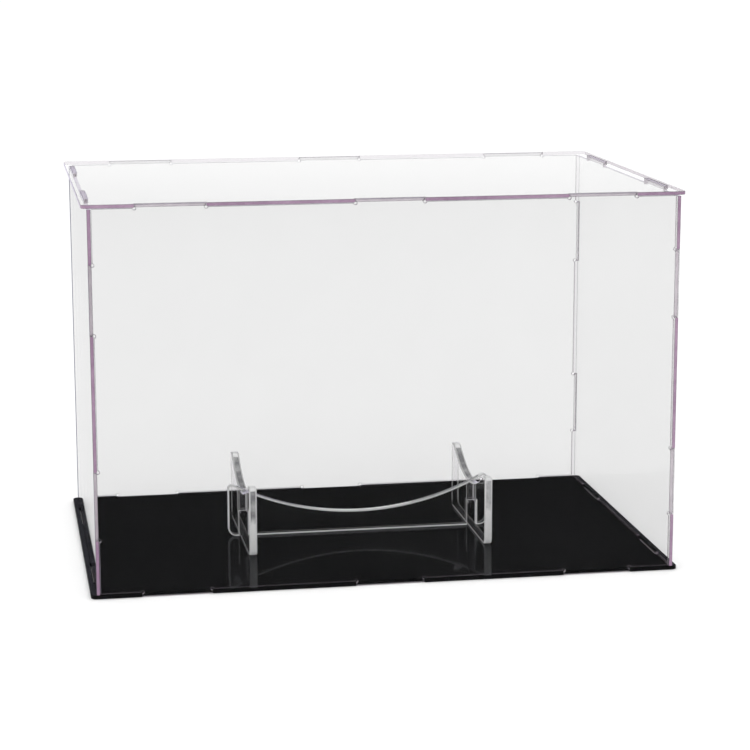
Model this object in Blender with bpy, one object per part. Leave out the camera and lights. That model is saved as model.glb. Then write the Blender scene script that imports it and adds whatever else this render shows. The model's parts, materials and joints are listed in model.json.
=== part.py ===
"""Football display case: a clear acrylic box of tabbed panels over a black base, with a cradle stand inside.

Every piece is a flat plate cut from acrylic sheet. Tabs on the walls pass through the base, through the top
and through each other. The stand is two cradles halved together with a crossbar, and rests loose on the base.
Metres, +Z up, +Y to the back. The origin is the middle of the base's underside.
"""

from math import asin, cos, pi, radians, sin, sqrt

import bmesh
import bpy
from mathutils import Vector

# Outside of the closed case
WIDTH = 0.330
DEPTH = 0.216
HEIGHT = 0.215
CORNER_R = 0.003  # corners of the base and the top

# Acrylic sheet of the box
SHEET = 0.002
OVERHANG = 0.003  # how far the base and the top stand out past the side walls
PLAY = 0.00025  # gap between plates that touch, and round each tab
EDGE_GAP = 0.0003  # gap where a wall's plain edge stops short of its neighbour
FLUSH = 0.0002  # how far a tab's end stops below the outside of the plate it passes through

# Tabs, as a width and the distances of their centres from the middle of a side
TAB = 0.038
FRONT_TABS = (-0.118, 0.0, 0.118)  # along the top and bottom of the front and back walls
SIDE_TABS = (-0.063, 0.063)  # along the top and bottom of the side walls
CORNER_TABS = (-0.0562, 0.0562)  # up the sides of the front and back walls
RELIEF_R = 0.0009  # round relief cut at the root of each tab
RELIEF_STEPS = 9

# Stand
STAND_SHEET = 0.0045
CRADLE_X = 0.069  # middle of each cradle, left and right of the centre
CRADLE_DEPTH = 0.095
CRADLE_HEIGHT = 0.040
CRADLE_R = 0.075  # hollow that holds the ball crosswise
CRADLE_LOW = 0.028  # lowest point of that hollow
CRADLE_FOOT_R = 0.004
CRADLE_LIP_R = 0.0012
BAR_LENGTH = 0.157
BAR_R = 0.160  # hollow that clears the ball lengthwise
BAR_LOW = 0.0125
BAR_FOOT_R = 0.005
BAR_END_R = 0.0025
LAP_HEIGHT = 0.015  # where the halving slots of cradle and crossbar meet

# How finely round stretches are drawn
HOLLOW_STEP = 0.005
FILLET_STEPS = 5
WELD = 1e-6

# Levels and faces that the pieces share
BASE_TOP = SHEET
TOP_UNDERSIDE = HEIGHT - SHEET
SIDE_FACE = WIDTH / 2 - OVERHANG  # outer face of a side wall
WALL_TOP = TOP_UNDERSIDE - PLAY  # body of the front and back walls, which carry the top
WALL_LOW = BASE_TOP + EDGE_GAP + PLAY
STAND_FOOT = BASE_TOP + PLAY


# Outlines. Each is a list of (u, v) points, anticlockwise, in the plate's own plane.


def arc(centre, radius, start, end, steps):
    """Points on a circle from angle start to angle end, in degrees."""
    angles = [radians(start + (end - start) * i / steps) for i in range(steps + 1)]
    return [(centre[0] + radius * cos(a), centre[1] + radius * sin(a)) for a in angles]


def tab(centre, width, reach):
    """A tab on one side of a plate, as (distance along, distance out), with a relief round each root."""
    left = centre - width / 2
    right = centre + width / 2
    return [
        *arc((left, 0.0), RELIEF_R, 180, 450, RELIEF_STEPS),
        (left, reach),
        (right, reach),
        *arc((right, 0.0), RELIEF_R, 90, 360, RELIEF_STEPS),
    ]


def notch(centre, width, depth):
    """A notch open at one side of a plate, as (distance along, distance out)."""
    left = centre - width / 2
    right = centre + width / 2
    return [(left, 0.0), (left, -depth), (right, -depth), (right, 0.0)]


def row(shape, centres, width, depth):
    """The same tab or notch at each centre along a side."""
    return [point for centre in centres for point in shape(centre, width, depth)]


def plate_outline(width, height, sides, corner_r=0.0):
    """A rectangle about its own middle, with what is cut or stands out along its four sides.

    sides lists the bottom, right, top and left side in turn.
    """
    points = []
    for turn, features in enumerate(sides):
        length, across = (width, height) if turn % 2 == 0 else (height, width)
        angle = turn * 90
        along = (cos(radians(angle)), sin(radians(angle)))
        out = (along[1], -along[0])
        corner = arc(
            (corner_r - length / 2, corner_r - across / 2), corner_r, 180, 270, FILLET_STEPS
        )
        local = corner if corner_r else [(-length / 2, -across / 2)]
        local += [(s, -across / 2 - reach) for s, reach in features]
        points += [
            (along[0] * s - out[0] * v, along[1] * s - out[1] * v) for s, v in local
        ]
    return points


def rounded(corners):
    """An outline whose (u, v, radius) corners are rounded where the radius isn't 0."""
    points = []
    for i, (u, v, radius) in enumerate(corners):
        here = Vector((u, v))
        if not radius:
            points.append((u, v))
            continue
        before = (Vector(corners[i - 1][:2]) - here).normalized()
        after = (Vector(corners[(i + 1) % len(corners)][:2]) - here).normalized()
        half = before.angle(after) / 2
        centre = here + (before + after).normalized() * radius / sin(half)
        start = here + before * radius / (sin(half) / cos(half)) - centre
        turn = pi - 2 * half
        sign = 1 if before.cross(after) < 0 else -1
        for step in range(FILLET_STEPS + 1):
            angle = sign * turn * step / FILLET_STEPS
            points.append(
                (
                    centre.x + start.x * cos(angle) - start.y * sin(angle),
                    centre.y + start.x * sin(angle) + start.y * cos(angle),
                )
            )
    return points


def hollow(radius, low, half_from, half_to):
    """Points of a hollow with its lowest point at (0, low), from one distance from the middle to another."""
    start = asin(half_from / radius)
    end = asin(half_to / radius)
    steps = round(radius * (end - start) / HOLLOW_STEP)
    angles = [start + (end - start) * i / steps for i in range(steps + 1)]
    return [(radius * sin(a), low + radius * (1 - cos(a))) for a in angles]


# Objects


def empty_scene():
    for obj in list(bpy.data.objects):
        bpy.data.objects.remove(obj, do_unlink=True)
    for mesh in list(bpy.data.meshes):
        bpy.data.meshes.remove(mesh)


def acrylic(name, colour, alpha):
    material = bpy.data.materials.new(name)
    material.use_nodes = True
    shader = material.node_tree.nodes["Principled BSDF"]
    shader.inputs["Base Color"].default_value = (*colour, 1.0)
    shader.inputs["Roughness"].default_value = 0.05
    shader.inputs["Metallic"].default_value = 0.0
    shader.inputs["IOR"].default_value = 1.49
    shader.inputs["Alpha"].default_value = alpha
    return material


def axis_empty(name, height, collection, parent=None):
    """The frame that a lifting piece rides on, with its origin on the lift's axis."""
    empty = bpy.data.objects.new(name, None)
    empty.empty_display_type = "SINGLE_ARROW"
    empty.empty_display_size = 0.03
    empty.parent = parent
    empty.location = (0.0, 0.0, height - (parent.matrix_world.translation.z if parent else 0.0))
    collection.objects.link(empty)
    bpy.context.view_layer.update()
    return empty


def flat_plate(name, outlines, thickness, material):
    """A closed plate about its own middle: the first outline is its edge and the rest are holes."""
    curve = bpy.data.curves.new(name, "CURVE")
    curve.dimensions = "2D"
    curve.fill_mode = "BOTH"
    curve.extrude = thickness / 2
    for outline in outlines:
        spline = curve.splines.new("POLY")
        spline.points.add(len(outline) - 1)
        for point, (u, v) in zip(spline.points, outline):
            point.co = (u, v, 0.0, 1.0)
        spline.use_cyclic_u = True
    drawn = bpy.data.objects.new(name + "_outline", curve)
    mesh = bpy.data.meshes.new_from_object(drawn)
    bpy.data.objects.remove(drawn)
    bpy.data.curves.remove(curve)
    weld(mesh)
    mesh.name = name
    mesh.materials.clear()
    mesh.materials.append(material)
    return bpy.data.objects.new(name, mesh)


def weld(mesh):
    """Joins the caps of a filled outline to its sides and turns every face outwards."""
    shape = bmesh.new()
    shape.from_mesh(mesh)
    bmesh.ops.remove_doubles(shape, verts=shape.verts, dist=WELD)
    bmesh.ops.recalc_face_normals(shape, faces=shape.faces)
    for face in shape.faces:
        face.smooth = False
    shape.to_mesh(mesh)
    shape.free()


# How a plate stands: flat, facing the front, or facing the side
LYING = (0.0, 0.0, 0.0)
FACING_FRONT = (pi / 2, 0.0, 0.0)
FACING_SIDE = (pi / 2, 0.0, pi / 2)


def place(plate, middle, stance, collection, parent=None):
    """Puts a plate's middle at a point in the case, riding on its parent."""
    plate.parent = parent
    plate.location = Vector(middle) - (parent.matrix_world.translation if parent else Vector())
    plate.rotation_euler = stance
    collection.objects.link(plate)


# Outlines of the pieces


def floor_outlines():
    """The base and the top: notches for the front and back walls, slots for the side walls."""
    notches = row(notch, FRONT_TABS, TAB + 2 * PLAY, SHEET + PLAY)
    edge = plate_outline(WIDTH, DEPTH, [notches, [], notches, []], CORNER_R)
    slot_width = SHEET + 2 * PLAY
    slot_length = TAB + 2 * PLAY
    slots = []
    for side in (-1, 1):
        for centre in SIDE_TABS:
            u = side * (SIDE_FACE - SHEET / 2)
            slots.append(
                [
                    (u + p, centre + q)
                    for p, q in plate_outline(slot_width, slot_length, [[], [], [], []])
                ]
            )
    return [edge, *slots]


def front_wall_outline():
    """The front and back walls: tabs on all four sides. The plain edges clear the side walls and the base."""
    width = 2 * (SIDE_FACE - SHEET - EDGE_GAP)
    down = WALL_LOW - FLUSH
    up = HEIGHT - FLUSH - WALL_TOP
    out = SHEET + EDGE_GAP
    return plate_outline(
        width,
        WALL_TOP - WALL_LOW,
        [
            row(tab, FRONT_TABS, TAB, down),
            row(tab, CORNER_TABS, TAB, out),
            row(tab, FRONT_TABS, TAB, up),
            row(tab, CORNER_TABS, TAB, out),
        ],
    )


def side_wall_outline():
    """The side walls: tabs up and down, and notches for the tabs of the front and back walls.

    The wall rests on the base and stops short of the top, so its middle is below the front wall's.
    """
    low = BASE_TOP + PLAY
    high = WALL_TOP - EDGE_GAP
    down = low - FLUSH
    up = HEIGHT - FLUSH - high
    drop = (WALL_TOP + WALL_LOW) / 2 - (low + high) / 2
    rising = row(notch, [c + drop for c in CORNER_TABS], TAB + 2 * PLAY, SHEET + PLAY)
    falling = row(notch, [c - drop for c in CORNER_TABS], TAB + 2 * PLAY, SHEET + PLAY)
    outline = plate_outline(
        DEPTH,
        high - low,
        [row(tab, SIDE_TABS, TAB, down), rising, row(tab, SIDE_TABS, TAB, up), falling],
    )
    return outline, (low + high) / 2


def cradle_outline():
    """A cradle, from its foot up: rounded feet, a hollow for the ball, and a slot down from the hollow."""
    half = CRADLE_DEPTH / 2
    rise = CRADLE_HEIGHT - CRADLE_LOW
    lip = sqrt(2 * CRADLE_R * rise - rise**2)
    slot = STAND_SHEET / 2 + PLAY
    left = hollow(CRADLE_R, CRADLE_LOW, -lip, -slot)
    right = hollow(CRADLE_R, CRADLE_LOW, slot, lip)
    slot_low = LAP_HEIGHT - PLAY / 2
    return rounded(
        [
            (-half, 0.0, CRADLE_FOOT_R),
            (half, 0.0, CRADLE_FOOT_R),
            (half, CRADLE_HEIGHT, CRADLE_LIP_R),
            (*right[-1], CRADLE_LIP_R),
            *[(u, v, 0.0) for u, v in reversed(right[:-1])],
            (slot, slot_low, 0.0),
            (-slot, slot_low, 0.0),
            *[(u, v, 0.0) for u, v in reversed(left[1:])],
            (*left[0], CRADLE_LIP_R),
            (-half, CRADLE_HEIGHT, CRADLE_LIP_R),
        ]
    )


def crossbar_outline():
    """The crossbar: rounded ends, a hollow under the ball, and a slot up from the foot for each cradle."""
    half = BAR_LENGTH / 2
    slot = STAND_SHEET / 2 + PLAY
    slot_high = LAP_HEIGHT + PLAY / 2
    top = hollow(BAR_R, BAR_LOW, -half, half)
    foot = []
    for side in (-1, 1):
        middle = side * CRADLE_X
        foot += [
            (middle - slot, 0.0, 0.0),
            (middle - slot, slot_high, 0.0),
            (middle + slot, slot_high, 0.0),
            (middle + slot, 0.0, 0.0),
        ]
    return rounded(
        [
            (-half, 0.0, BAR_FOOT_R),
            *foot,
            (half, 0.0, BAR_FOOT_R),
            (*top[-1], BAR_END_R),
            *[(u, v, 0.0) for u, v in reversed(top[1:-1])],
            (*top[0], BAR_END_R),
        ]
    )


# The assembly


def build_base(case, black):
    base = flat_plate("base_plate", floor_outlines(), SHEET, black)
    place(base, (0.0, 0.0, SHEET / 2), LYING, case)


def build_walls(case, clear, cover):
    front_outline = front_wall_outline()
    front_y = DEPTH / 2 - SHEET / 2
    front_z = (WALL_TOP + WALL_LOW) / 2
    for name, side in (("front_wall", -1), ("back_wall", 1)):
        wall = flat_plate(name, [front_outline], SHEET, clear)
        place(wall, (0.0, side * front_y, front_z), FACING_FRONT, case, cover)
    side_outline, side_z = side_wall_outline()
    side_x = SIDE_FACE - SHEET / 2
    for name, side in (("left_wall", -1), ("right_wall", 1)):
        wall = flat_plate(name, [side_outline], SHEET, clear)
        place(wall, (side * side_x, 0.0, side_z), FACING_SIDE, case, cover)


def build_top(case, clear, lid):
    top = flat_plate("top_plate", floor_outlines(), SHEET, clear)
    place(top, (0.0, 0.0, HEIGHT - SHEET / 2), LYING, case, lid)


def build_stand(case, clear, stand, crossbar):
    for name, side in (("left_cradle", -1), ("right_cradle", 1)):
        cradle = flat_plate(name, [cradle_outline()], STAND_SHEET, clear)
        place(cradle, (side * CRADLE_X, 0.0, STAND_FOOT), FACING_SIDE, case, stand)
    bar = flat_plate("crossbar", [crossbar_outline()], STAND_SHEET, clear)
    place(bar, (0.0, 0.0, STAND_FOOT), FACING_FRONT, case, crossbar)


def build():
    empty_scene()
    case = bpy.data.collections.new("football_display_case")
    bpy.context.scene.collection.children.link(case)
    black = acrylic("black_acrylic", (0.010, 0.010, 0.011), 1.0)
    clear = acrylic("clear_acrylic", (0.93, 0.94, 0.95), 0.2)
    stand_clear = acrylic("stand_acrylic", (0.95, 0.96, 0.96), 0.25)
    cover = axis_empty("cover_lift", BASE_TOP, case)
    lid = axis_empty("lid_lift", TOP_UNDERSIDE, case, cover)
    stand = axis_empty("stand_lift", BASE_TOP, case)
    crossbar = axis_empty("crossbar_lift", BASE_TOP + LAP_HEIGHT, case, stand)
    build_base(case, black)
    build_walls(case, clear, cover)
    build_top(case, clear, lid)
    build_stand(case, stand_clear, stand, crossbar)


build()
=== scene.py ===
"""Looks of the football display case: nine flat sheets of cut acrylic.

Each sheet is rebuilt from its CAD solid with broken edges. Its broad faces, cut edges and broken edges have
materials of their own. Lengths are in metres, in the frame of the CAD.
"""

import json
from math import radians

import bmesh
import bpy
from mathutils import Matrix, Vector


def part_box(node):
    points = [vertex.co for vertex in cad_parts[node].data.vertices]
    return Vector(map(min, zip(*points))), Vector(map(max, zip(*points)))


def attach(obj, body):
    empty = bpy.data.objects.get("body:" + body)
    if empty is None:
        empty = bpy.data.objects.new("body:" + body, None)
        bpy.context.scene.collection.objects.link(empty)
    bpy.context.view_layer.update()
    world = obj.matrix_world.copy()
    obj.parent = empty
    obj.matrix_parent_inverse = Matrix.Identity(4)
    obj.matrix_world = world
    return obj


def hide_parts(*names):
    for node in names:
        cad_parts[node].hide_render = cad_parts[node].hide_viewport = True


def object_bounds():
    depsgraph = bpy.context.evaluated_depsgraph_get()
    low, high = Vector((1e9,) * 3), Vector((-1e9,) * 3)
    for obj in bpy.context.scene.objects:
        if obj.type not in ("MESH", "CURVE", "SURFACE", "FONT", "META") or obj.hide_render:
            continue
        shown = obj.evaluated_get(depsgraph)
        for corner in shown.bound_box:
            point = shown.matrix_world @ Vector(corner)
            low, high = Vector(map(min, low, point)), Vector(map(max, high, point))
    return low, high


# Sheets
BREAK, BREAK_STEPS = 0.00018, 1  # width of the broken edge round a sheet of the box, in one flat step
STAND_BREAK, STAND_STEPS = 0.0008, 3  # and round a sheet of the stand, where it is rounded
CORNER = 0.001  # a face this near the outside of the case is part of it
SLOT_REACH = 0.003  # what bounds a slot of the stand lies within this of where the two sheets cross
SLOT_SIDE = 0.001  # and its right side lies further right than this
WELD = 1e-6
COPLANAR = radians(0.5)
SMOOTH_BELOW = radians(35)
BROAD, LEANING, SQUARE = 0.99, 0.05, 0.5  # how far a normal leans along an axis

# A sheet's materials, in the order of its slots
OUTER_FACE, CUT_EDGE, JOINT_EDGE, BROKEN_EDGE, INNER_FACE = range(5)

# Light that a broad face lets through: on a wall before or behind the inside, on the top and on the stand
NEAR_PASS, FAR_PASS, LID_PASS, STAND_PASS = 0.985, 0.888, 0.998, 0.975

# Broad faces
SMUDGE_DIM = 0.004  # light lost at the worst smudge
HAZE, STAND_HAZE = 0.001, 0.0005  # share of a broad face that is dust and fine scratches
SHINE = (0.001, 0.05)  # mirrored by a broad face met straight on, and grazed
FOOT_HIGHLIGHT = (0.0031, 0.0035)  # heights between which the painted highlight, a bright line at the stand's foot, fades
FOOT_HIGHLIGHT_SHARE = 0.9
VERGE = (0.094, 0.096)  # where the back stretch of a side wall begins, which mirrors less
RIM_BLUR = 0.0002
BASE_MIRROR = 0.08

# How a broad face turns white as it is grazed: from this facing, to this one, and how far
WALL_GRAZED = (0.90, 0.95, 0.88)
LID_GRAZED = (0.84, 0.95, 0.215)
STAND_GRAZED = (0.90, 0.95, 0.1)

# How bright that white is. The top's is a painted reflection of the studio mirrored in it, which outshines a
# white film.
WALL_WHITE, LID_PAINTED_GLARE, STAND_WHITE = 0.80, 1.6, 0.9

# Scales of the patterns, as features in a metre
CLOUD, SMUDGES, FINE = 14.0, 22.0, 900.0
DRIFT, MELT, ACROSS = 11.0, 160.0, 1400.0
HAIRLINES, SAW_LINES = 700.0, 1100.0
WAVE, BASE_WAVE = 9.0, 7.0

# Colours, as the dark and light ends of a pattern
MAUVE = ((0.22, 0.12, 0.21), (0.38, 0.25, 0.36))
PALE = ((0.50, 0.43, 0.49), (0.72, 0.65, 0.71))
# Painted light: the stand's cut edges, coloured bright for the light the sheet pipes along and mirrors
# inside it
STAND_EDGE_PAINTED_GLEAM = ((0.24, 0.24, 0.25), (1.0, 1.0, 1.0))
# Painted highlight on the rounded edges of the stand
PAINTED_EDGE_HIGHLIGHT = ((0.85, 0.85, 0.85), (1.0, 1.0, 1.0))
LINE = ((0.05, 0.045, 0.055), (0.12, 0.11, 0.13))
BLACK = ((0.001, 0.001, 0.0011), (0.0065, 0.0065, 0.007))
BLACK_EDGE = ((0.001, 0.001, 0.001), (0.005, 0.005, 0.006))

# Single colours
WHITE = (1.0, 1.0, 1.0, 1.0)
SLATE = (0.2, 0.2, 0.26)
EDGE_TINT = (0.89, 0.88, 0.895, 1.0)  # of what is seen through a cut edge
EDGE_PAINTED_SHEEN = (0.66, 0.63, 0.75, 1.0)  # painted sheen of a cut edge that is grazed
# Painted reflection on the base's top where it stands out past the walls
BASE_RIM_PAINTED_REFLECTION = (0.024, 0.024, 0.029, 1.0)
BASE_SHINE = (0.96, 0.97, 1.0, 1.0)
FLOOR = (0.98, 0.98, 0.98, 1.0)

# Stage
CAMERA_AT = (-0.21842, -1.31051, 0.36669)
CAMERA_YAW, CAMERA_PITCH, CAMERA_ROLL = 9.898, -11.489, -0.105
CAMERA_LENS, CAMERA_SENSOR = 110.03, 36.0
SKY_LIGHT = 1.06
GLOSS_LIGHT = 0.05  # how bright the studio is to a surface that mirrors it
FLOOR_REACH, FLOOR_DROP = 40.0, 0.0002
SEE_THROUGH_BOUNCES = 32
LAMPS = {  # where each stands, how wide it is, and its power in watts
    "key": ((-0.9, -1.1, 1.5), 0.35, 1.5),
    "top": ((0.2, 0.3, 1.9), 1.2, 1.5),
    "back": ((1.0, 1.3, 1.0), 0.3, 1.0),
}


# Materials


class Shader:
    """A material and the few calls that its nodes need."""

    def __init__(self, name):
        self.material = bpy.data.materials.new(name)
        self.material.use_nodes = True
        self.tree = self.material.node_tree
        self.tree.nodes.clear()
        self.place = self.add("TexCoord").outputs["Object"]

    def add(self, kind, settings=None, **inputs):
        node = self.tree.nodes.new("ShaderNode" + kind)
        for name, value in (settings or {}).items():
            setattr(node, name, value)
        for name, value in inputs.items():
            self.feed(node.inputs[name.replace("_", " ")], value)
        return node

    def feed(self, socket, value):
        if isinstance(value, bpy.types.NodeSocket):
            self.tree.links.new(value, socket)
        else:
            socket.default_value = value

    def maths(self, operation, a, b=0.0):
        node = self.add("Math", {"operation": operation})
        self.feed(node.inputs[0], a)
        self.feed(node.inputs[1], b)
        return node.outputs[0]

    def noise(self, scale, detail=2.0, roughness=0.5, stretch=(1.0, 1.0, 1.0)):
        place = self.add("Mapping", Vector=self.place, Scale=stretch).outputs[0]
        node = self.add("TexNoise", Vector=place, Scale=scale, Detail=detail, Roughness=roughness)
        return node.outputs["Fac"]

    def spread(self, value, source, target):
        """value taken from one range to another, and held there."""
        node = self.add("MapRange", Value=value)
        for name, number in zip(("From Min", "From Max", "To Min", "To Max"), source + target):
            node.inputs[name].default_value = number
        return node.outputs[0]

    def smooth_step(self, value, source, target):
        eased = self.spread(value, source, target)
        eased.node.interpolation_type = "SMOOTHSTEP"
        return eased

    def facing(self):
        """0 where the surface is met straight on, 1 where it is grazed."""
        return self.add("LayerWeight", Blend=0.5).outputs["Facing"]

    def behind(self):
        """1 on a face seen from inside its sheet, 0 on one seen from outside."""
        return self.add("NewGeometry").outputs["Backfacing"]

    def along(self, axis):
        """Place in the case along an axis."""
        return self.add("SeparateXYZ", Vector=self.place).outputs[axis]

    def up(self):
        """Height in the sheet, from 0 at its foot to 1 at its top."""
        generated = self.add("TexCoord").outputs["Generated"]
        return self.add("SeparateXYZ", Vector=generated).outputs["Z"]

    def turned(self, axis):
        """1 on a face square to an axis, 0 on a face along it."""
        normal = self.add("NewGeometry").outputs["True Normal"]
        return self.maths("ABSOLUTE", self.add("SeparateXYZ", Vector=normal).outputs[axis])

    def verge(self):
        """1 near the back end of a side wall, 0 elsewhere."""
        back = self.spread(self.along("Y"), VERGE, (0.0, 1.0))
        return self.maths("MULTIPLY", self.turned("X"), back)

    def ramp(self, value, *stops):
        node = self.add("ValToRGB", Fac=value)
        while len(node.color_ramp.elements) < len(stops):
            node.color_ramp.elements.new(0.5)
        for element, (at, colour) in zip(node.color_ramp.elements, stops):
            element.position = at
            element.color = (*colour, 1.0)
        return node.outputs[0]

    def bump(self, height, strength, distance):
        node = self.add("Bump", Height=height, Strength=strength, Distance=distance)
        return node.outputs[0]

    def blend(self, share, first, second):
        """A colour between two colours."""
        node = self.add("Mix", {"data_type": "RGBA"})
        colours = [socket for socket in node.inputs if socket.type == "RGBA"]
        for socket, value in zip((node.inputs[0], *colours), (share, first, second)):
            self.feed(socket, value)
        return next(socket for socket in node.outputs if socket.type == "RGBA")

    def mix(self, share, first, second):
        node = self.add("MixShader")
        self.feed(node.inputs[0], share)
        self.tree.links.new(first.outputs[0], node.inputs[1])
        self.tree.links.new(second.outputs[0], node.inputs[2])
        return node

    def done(self, shader):
        output = self.add("OutputMaterial")
        self.tree.links.new(shader.outputs[0], output.inputs["Surface"])
        return self.material


def see_through(s, smudge, passes):
    """The clear part of a broad face. passes is for a view from outside its sheet, and one from inside."""
    tint = s.spread(s.behind(), (0.0, 1.0), passes)
    tint = s.maths("SUBTRACT", tint, s.spread(smudge, (0.35, 0.7), (0.0, SMUDGE_DIM)))
    return s.add("BsdfTransparent", Color=tint)


def dusted(s, smudge, haze):
    """How much of a broad face is dust and fine scratches."""
    share = s.maths("MULTIPLY", s.spread(smudge, (0.35, 0.75), (0.6, 1.6)), haze)
    fine = s.noise(FINE, 2.0, 0.6)
    return s.maths("MULTIPLY", share, s.spread(fine, (0.3, 0.7), (0.8, 1.2)))


def with_painted_foot_highlight(s, body):
    """Adds a painted highlight: a bright line along the foot of a face seen from outside its sheet."""
    near = s.maths("SUBTRACT", 1.0, s.behind())
    low = s.smooth_step(s.along("Z"), FOOT_HIGHLIGHT, (FOOT_HIGHLIGHT_SHARE, 0.0))
    edge = s.add("BsdfDiffuse", Color=WHITE)
    glow = s.add("BsdfTranslucent", Color=WHITE)
    return s.mix(s.maths("MULTIPLY", near, low), body, s.mix(0.5, edge, glow))


def polish(s, smudge, white):
    """The mirroring part of a broad face, on sheet that is never quite flat."""
    return s.add(
        "BsdfGlossy",
        Color=s.ramp(s.verge(), (0.0, (white,) * 3), (1.0, SLATE)),
        Roughness=s.spread(smudge, (0.3, 0.75), (0.01, 0.05)),
        Normal=s.bump(s.noise(WAVE, 1.0), 0.2, 0.0003),
    )


def clear_face(name, passes, white, grazed, haze=HAZE, painted_glare=False, foot_highlighted=False):
    """A polished broad face. Where it is grazed it turns white, by mirroring or by a painted reflection laid
    on as a white film.
    """
    s = Shader(name)
    smudge = s.noise(SMUDGES, 3.0, 0.6)
    facing = s.facing()
    grazed_share = s.smooth_step(facing, grazed[:2], (0.0, grazed[2]))
    share = dusted(s, smudge, haze)
    mirrored = s.spread(s.maths("MULTIPLY", facing, facing), (0.0, 1.0), SHINE)
    # On the top the grazed white is a painted reflection, laid on as a white diffuse film.
    if painted_glare:
        share = s.maths("ADD", share, grazed_share)
    else:
        mirrored = s.maths("ADD", mirrored, grazed_share)
    dust_and_painted_glare = s.add("BsdfDiffuse", Color=(white, white, white, 1.0))
    body = s.mix(share, see_through(s, smudge, passes), dust_and_painted_glare)
    # Painted highlight along the foot of the stand's faces.
    if foot_highlighted:
        body = with_painted_foot_highlight(s, body)
    return s.done(s.mix(mirrored, body, polish(s, smudge, white)))


def edge_tone(s, melt, across, painted_foot_light):
    """How light a cut edge is along its length. painted_foot_light is painted light: it lightens the sheet's
    lower part and very top.
    """
    tone = s.maths("ADD", s.maths("MULTIPLY", s.noise(DRIFT), 0.5), s.maths("MULTIPLY", melt, 0.3))
    tone = s.maths("ADD", tone, s.maths("MULTIPLY", across, 0.2))
    up = s.up()
    tone = s.maths("ADD", tone, s.smooth_step(up, (0.35, 0.6), (painted_foot_light, -0.2 * painted_foot_light)))
    return s.maths("ADD", tone, s.smooth_step(up, (0.955, 0.975), (0.0, painted_foot_light)))


def edge_body(s, palette, lit, painted_foot_light):
    """The rippled face that the laser left, with a painted sheen that makes it paler where it is grazed. lit
    is its glow from behind.
    """
    across = s.noise(ACROSS, 2.0, 0.7)
    melt = s.noise(MELT)
    dark, light = palette
    colour = s.ramp(edge_tone(s, melt, across, painted_foot_light), (0.36, dark), (0.64, light))
    height = s.maths("ADD", s.maths("MULTIPLY", melt, 0.6), s.maths("MULTIPLY", across, 0.4))
    edge = s.add(
        "BsdfPrincipled",
        Base_Color=colour,
        Roughness=s.spread(across, (0.3, 0.7), (0.16, 0.42)),
        IOR=1.49,
        Normal=s.bump(height, 0.35, 0.00005),
    )
    glow = s.add("BsdfTranslucent", Color=colour)
    painted_sheen = s.add("BsdfDiffuse", Color=EDGE_PAINTED_SHEEN)
    return s.mix(s.smooth_step(s.facing(), (0.80, 0.95), (0.0, 0.85)), s.mix(lit, edge, glow), painted_sheen)


def edge_solidity(s, outside, inside):
    """How solid a cut edge looks from outside its sheet, and through it: less where it lies level."""
    behind = s.behind()
    near = s.maths("MULTIPLY", s.maths("SUBTRACT", 1.0, behind), outside)
    through = s.spread(s.facing(), (0.3, 0.75), inside)
    through = s.maths("MULTIPLY", through, s.spread(s.turned("Z"), (0.0, 1.0), (1.0, 0.3)))
    return s.maths("ADD", near, s.maths("MULTIPLY", behind, through))


def cut_edge(name, palette, outside, inside, lit=0.0, painted_foot_light=0.0):
    """A laser-cut edge. inside is a range, from one met straight on through its sheet to a grazed one."""
    s = Shader(name)
    clear = s.add("BsdfTransparent", Color=EDGE_TINT)
    return s.done(s.mix(edge_solidity(s, outside, inside), clear, edge_body(s, palette, lit, painted_foot_light)))


def black_face(name):
    """The polished top of the base, with faint hairlines, and a painted reflection that makes it lighter
    where it stands out past the walls.
    """
    s = Shader(name)
    hair = s.noise(HAIRLINES, 3.0, 0.7, (1.0, 0.02, 1.0))
    tone = s.spread(s.noise(CLOUD, 3.0, 0.6), (0.3, 0.7), (0.35, 0.6))
    inside = s.ramp(tone, (0.0, BLACK[0]), (0.85, BLACK[1]))
    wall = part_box("right_wall")[1].x
    # Painted reflection: past the walls the base's top is coloured lighter.
    painted_rim_reflection = s.smooth_step(s.maths("ABSOLUTE", s.along("X")), (wall - RIM_BLUR, wall + RIM_BLUR), (0.0, 1.0))
    paint = s.add(
        "BsdfPrincipled",
        Base_Color=s.blend(painted_rim_reflection, inside, BASE_RIM_PAINTED_REFLECTION),
        Roughness=0.5,
        Specular_IOR_Level=0.0,
    )
    shine = s.add(
        "BsdfGlossy",
        Color=BASE_SHINE,
        Roughness=s.spread(hair, (0.35, 0.75), (0.03, 0.09)),
        Normal=s.bump(s.noise(BASE_WAVE, 1.0), 0.2, 0.0005),
    )
    return s.done(s.mix(BASE_MIRROR, paint, shine))


def black_edge(name):
    """The cut edge of the base."""
    s = Shader(name)
    lines = s.noise(SAW_LINES, 2.0, 0.7, (1.0, 1.0, 0.03))
    edge = s.add(
        "BsdfPrincipled",
        Base_Color=s.ramp(lines, (0.3, BLACK_EDGE[0]), (0.8, BLACK_EDGE[1])),
        Roughness=s.spread(lines, (0.3, 0.7), (0.25, 0.5)),
        Specular_IOR_Level=0.08,
        Normal=s.bump(lines, 0.3, 0.00004),
    )
    return s.done(edge)


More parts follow.
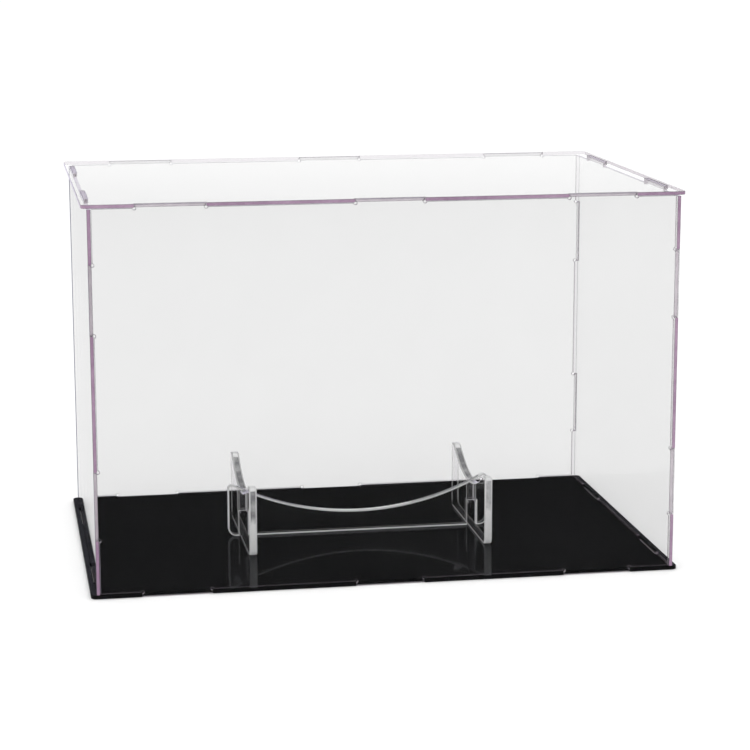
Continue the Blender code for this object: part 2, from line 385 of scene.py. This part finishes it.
def box_materials():
    """The materials of a wall and of the top, which share their joint edges and broken edges."""
    joint = cut_edge("joint_edge", PALE, 0.8, (0.06, 0.4))
    line = cut_edge("wall_broken_edge", LINE, 0.85, (0.7, 0.85))
    wall = (
        clear_face("wall_outer_face", (NEAR_PASS, FAR_PASS), WALL_WHITE, WALL_GRAZED),
        cut_edge("outer_edge", MAUVE, 0.95, (0.06, 0.32)),
        joint,
        line,
        clear_face("wall_inner_face", (FAR_PASS, NEAR_PASS), WALL_WHITE, WALL_GRAZED),
    )
    # The top's grazed white is a painted reflection of the studio.
    face = clear_face("lid_face", (LID_PASS, LID_PASS), LID_PAINTED_GLARE, LID_GRAZED, painted_glare=True)
    lid = (face, cut_edge("lid_outer_edge", MAUVE, 0.95, (0.2, 0.5)), joint, line, face)
    return wall, lid


def stand_materials():
    passes = (STAND_PASS, STAND_PASS)
    # The stand's faces carry a painted highlight along their foot.
    face = clear_face("stand_face", passes, STAND_WHITE, STAND_GRAZED, STAND_HAZE, foot_highlighted=True)
    # Painted light: the stand's cut edges are coloured bright for light the sheet pipes and mirrors, lighter
    # still at the foot and very top.
    painted_gleam_edge = cut_edge("stand_edge", STAND_EDGE_PAINTED_GLEAM, 1.0, (0.0, 0.04), 0.2, 0.35)
    slot = cut_edge("stand_slot_face", STAND_EDGE_PAINTED_GLEAM, 0.12, (0.0, 0.04))
    # Painted highlight: the stand's rounded edges are coloured near white.
    bright = cut_edge("stand_broken_edge", PAINTED_EDGE_HIGHLIGHT, 1.0, (0.35, 0.35), 0.6)
    return face, painted_gleam_edge, slot, bright, face


def make_materials():
    """The materials of each body's sheets, in the order of their slots."""
    wall, lid = box_materials()
    stand = stand_materials()
    face, edge = black_face("base_face"), black_edge("base_edge")
    return {"base": (face, edge, edge, edge, face), "cover": wall, "top": lid, "stand": stand, "bar": stand}


# Sheets


def thin_axis(node):
    low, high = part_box(node)
    size = high - low
    return min(range(3), key=lambda i: size[i])


def is_rim(edge, axis):
    """True for an edge between a broad face and a cut face."""
    sides = [abs(face.normal[axis]) > SQUARE for face in edge.link_faces]
    return len(sides) == 2 and sides[0] != sides[1]


def faces_out(face):
    """True for a face on one of the four upright sides of the whole case, looking away from it."""
    centre = face.calc_center_median()
    low, high = CASE
    return any(
        face.normal[i] > SQUARE and high[i] - centre[i] < CORNER
        or face.normal[i] < -SQUARE and centre[i] - low[i] < CORNER
        for i in (0, 1)
    )


def looks_in(face, axis):
    """True for a face that looks towards the middle of the case."""
    low, high = CASE
    middle = (low[axis] + high[axis]) / 2
    return face.normal[axis] * (face.calc_center_median()[axis] - middle) < 0


def in_slot(face):
    """True for what bounds a slot where a cradle and the crossbar cross, apart from its right side."""
    low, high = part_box("right_cradle")
    cradle = (low.x + high.x) / 2
    corners = [(abs(v.co.x) - cradle, v.co.y) for v in face.verts]
    if any(max(abs(x), abs(y)) > SLOT_REACH for x, y in corners):
        return False
    centre = face.calc_center_median().x
    return (centre - cradle if centre > 0 else centre + cradle) < SLOT_SIDE


def material_of(face, axis, loose):
    """The slot of a face's material. loose is True on the sheets of the stand."""
    lean = abs(face.normal[axis])
    if lean > BROAD:
        return INNER_FACE if looks_in(face, axis) else OUTER_FACE
    if loose and in_slot(face):
        return JOINT_EDGE
    if lean > LEANING:
        return BROKEN_EDGE
    return CUT_EDGE if loose or faces_out(face) else JOINT_EDGE


def break_edges(bm, axis, loose):
    width, steps = (STAND_BREAK, STAND_STEPS) if loose else (BREAK, BREAK_STEPS)
    rims = [edge for edge in bm.edges if is_rim(edge, axis)]
    bmesh.ops.bevel(
        bm, geom=rims, offset=width, offset_type="OFFSET", segments=steps, profile=0.5, affect="EDGES"
    )
    bm.normal_update()


def shade(bm, axis, loose):
    for face in bm.faces:
        face.material_index = material_of(face, axis, loose)
        face.smooth = True
    for edge in bm.edges:
        if len(edge.link_faces) == 2:
            edge.smooth = edge.calc_face_angle() < SMOOTH_BELOW


def sheet_mesh(node, source, loose):
    """The CAD solid of a sheet as plain faces, with its rims broken and each face given its material."""
    axis = thin_axis(node)
    bm = bmesh.new()
    bm.from_mesh(source)
    bmesh.ops.remove_doubles(bm, verts=bm.verts, dist=WELD)
    bmesh.ops.dissolve_limit(bm, angle_limit=COPLANAR, verts=bm.verts, edges=bm.edges)
    bm.normal_update()
    break_edges(bm, axis, loose)
    shade(bm, axis, loose)
    mesh = bpy.data.meshes.new(node + "_sheet")
    bm.to_mesh(mesh)
    bm.free()
    return mesh


def make_sheet(node, body, materials):
    cad = frame["nodes"][node]
    mesh = sheet_mesh(node, cad.data, body in ("stand", "bar"))
    for material in materials:
        mesh.materials.append(material)
    piece = bpy.data.objects.new(node + "_sheet", mesh)
    piece.visible_shadow = body == "base"
    bpy.context.scene.collection.objects.link(piece)
    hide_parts(node)
    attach(piece, body)


def make_sheets():
    materials = make_materials()
    for body, members in frame["record"]["behaviour"]["bodies"].items():
        for node in members:
            make_sheet(node, body, materials[body])


# Stage


def make_floor():
    reach = FLOOR_REACH
    mesh = bpy.data.meshes.new("floor")
    corners = [(-reach, -reach, 0), (reach, -reach, 0), (reach, reach, 0), (-reach, reach, 0)]
    mesh.from_pydata(corners, [], [(0, 1, 2, 3)])
    s = Shader("floor")
    mesh.materials.append(s.done(s.add("BsdfDiffuse", Color=FLOOR)))
    floor = bpy.data.objects.new("floor", mesh)
    floor.location.z = -FLOOR_DROP
    bpy.context.scene.collection.objects.link(floor)


def make_world():
    """A white studio that is dark to what mirrors it, so that the black base stays black."""
    world = bpy.data.worlds.new("studio")
    world.use_nodes = True
    tree = world.node_tree
    tree.nodes.clear()
    path = tree.nodes.new("ShaderNodeLightPath")
    strength = tree.nodes.new("ShaderNodeMix")
    strength.inputs["A"].default_value = SKY_LIGHT
    strength.inputs["B"].default_value = GLOSS_LIGHT
    sky = tree.nodes.new("ShaderNodeBackground")
    sky.inputs["Color"].default_value = WHITE
    output = tree.nodes.new("ShaderNodeOutputWorld")
    tree.links.new(path.outputs["Is Glossy Ray"], strength.inputs["Factor"])
    tree.links.new(strength.outputs["Result"], sky.inputs["Strength"])
    tree.links.new(sky.outputs[0], output.inputs["Surface"])
    bpy.context.scene.world = world


def make_lamp(name, at, size, power):
    """A square lamp that looks at the case. It is not mirrored in the sheets."""
    light = bpy.data.lights.new(name, "AREA")
    light.shape = "SQUARE"
    light.size = size
    light.energy = power
    lamp = bpy.data.objects.new(name, light)
    lamp.location = at
    lamp.rotation_mode = "QUATERNION"
    lamp.rotation_quaternion = (-Vector(at)).to_track_quat("-Z", "Y")
    lamp.visible_glossy = False
    bpy.context.scene.collection.objects.link(lamp)


def make_camera():
    data = bpy.data.cameras.new("camera")
    data.lens = CAMERA_LENS
    data.sensor_width = CAMERA_SENSOR
    camera = bpy.data.objects.new("camera", data)
    camera.matrix_world = (
        Matrix.Translation(CAMERA_AT)
        @ Matrix.Rotation(radians(-CAMERA_YAW), 4, "Z")
        @ Matrix.Rotation(radians(90 + CAMERA_PITCH), 4, "X")
        @ Matrix.Rotation(radians(CAMERA_ROLL), 4, "Z")
    )
    bpy.context.scene.collection.objects.link(camera)
    bpy.context.scene.camera = camera


def make_stage():
    make_floor()
    make_world()
    for name, (at, size, power) in LAMPS.items():
        make_lamp(name, at, size, power)
    make_camera()
    scene = bpy.context.scene
    scene.view_settings.view_transform = "Standard"
    scene.cycles.transparent_max_bounces = SEE_THROUGH_BOUNCES


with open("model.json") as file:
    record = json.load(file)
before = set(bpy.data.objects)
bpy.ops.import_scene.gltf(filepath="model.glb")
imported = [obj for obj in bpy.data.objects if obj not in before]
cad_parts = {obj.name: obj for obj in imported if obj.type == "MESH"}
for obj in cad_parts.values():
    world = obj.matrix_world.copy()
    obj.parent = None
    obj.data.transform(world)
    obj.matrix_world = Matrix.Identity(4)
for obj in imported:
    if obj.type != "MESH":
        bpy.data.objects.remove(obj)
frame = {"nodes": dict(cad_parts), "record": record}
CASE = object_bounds()
make_sheets()
make_stage()
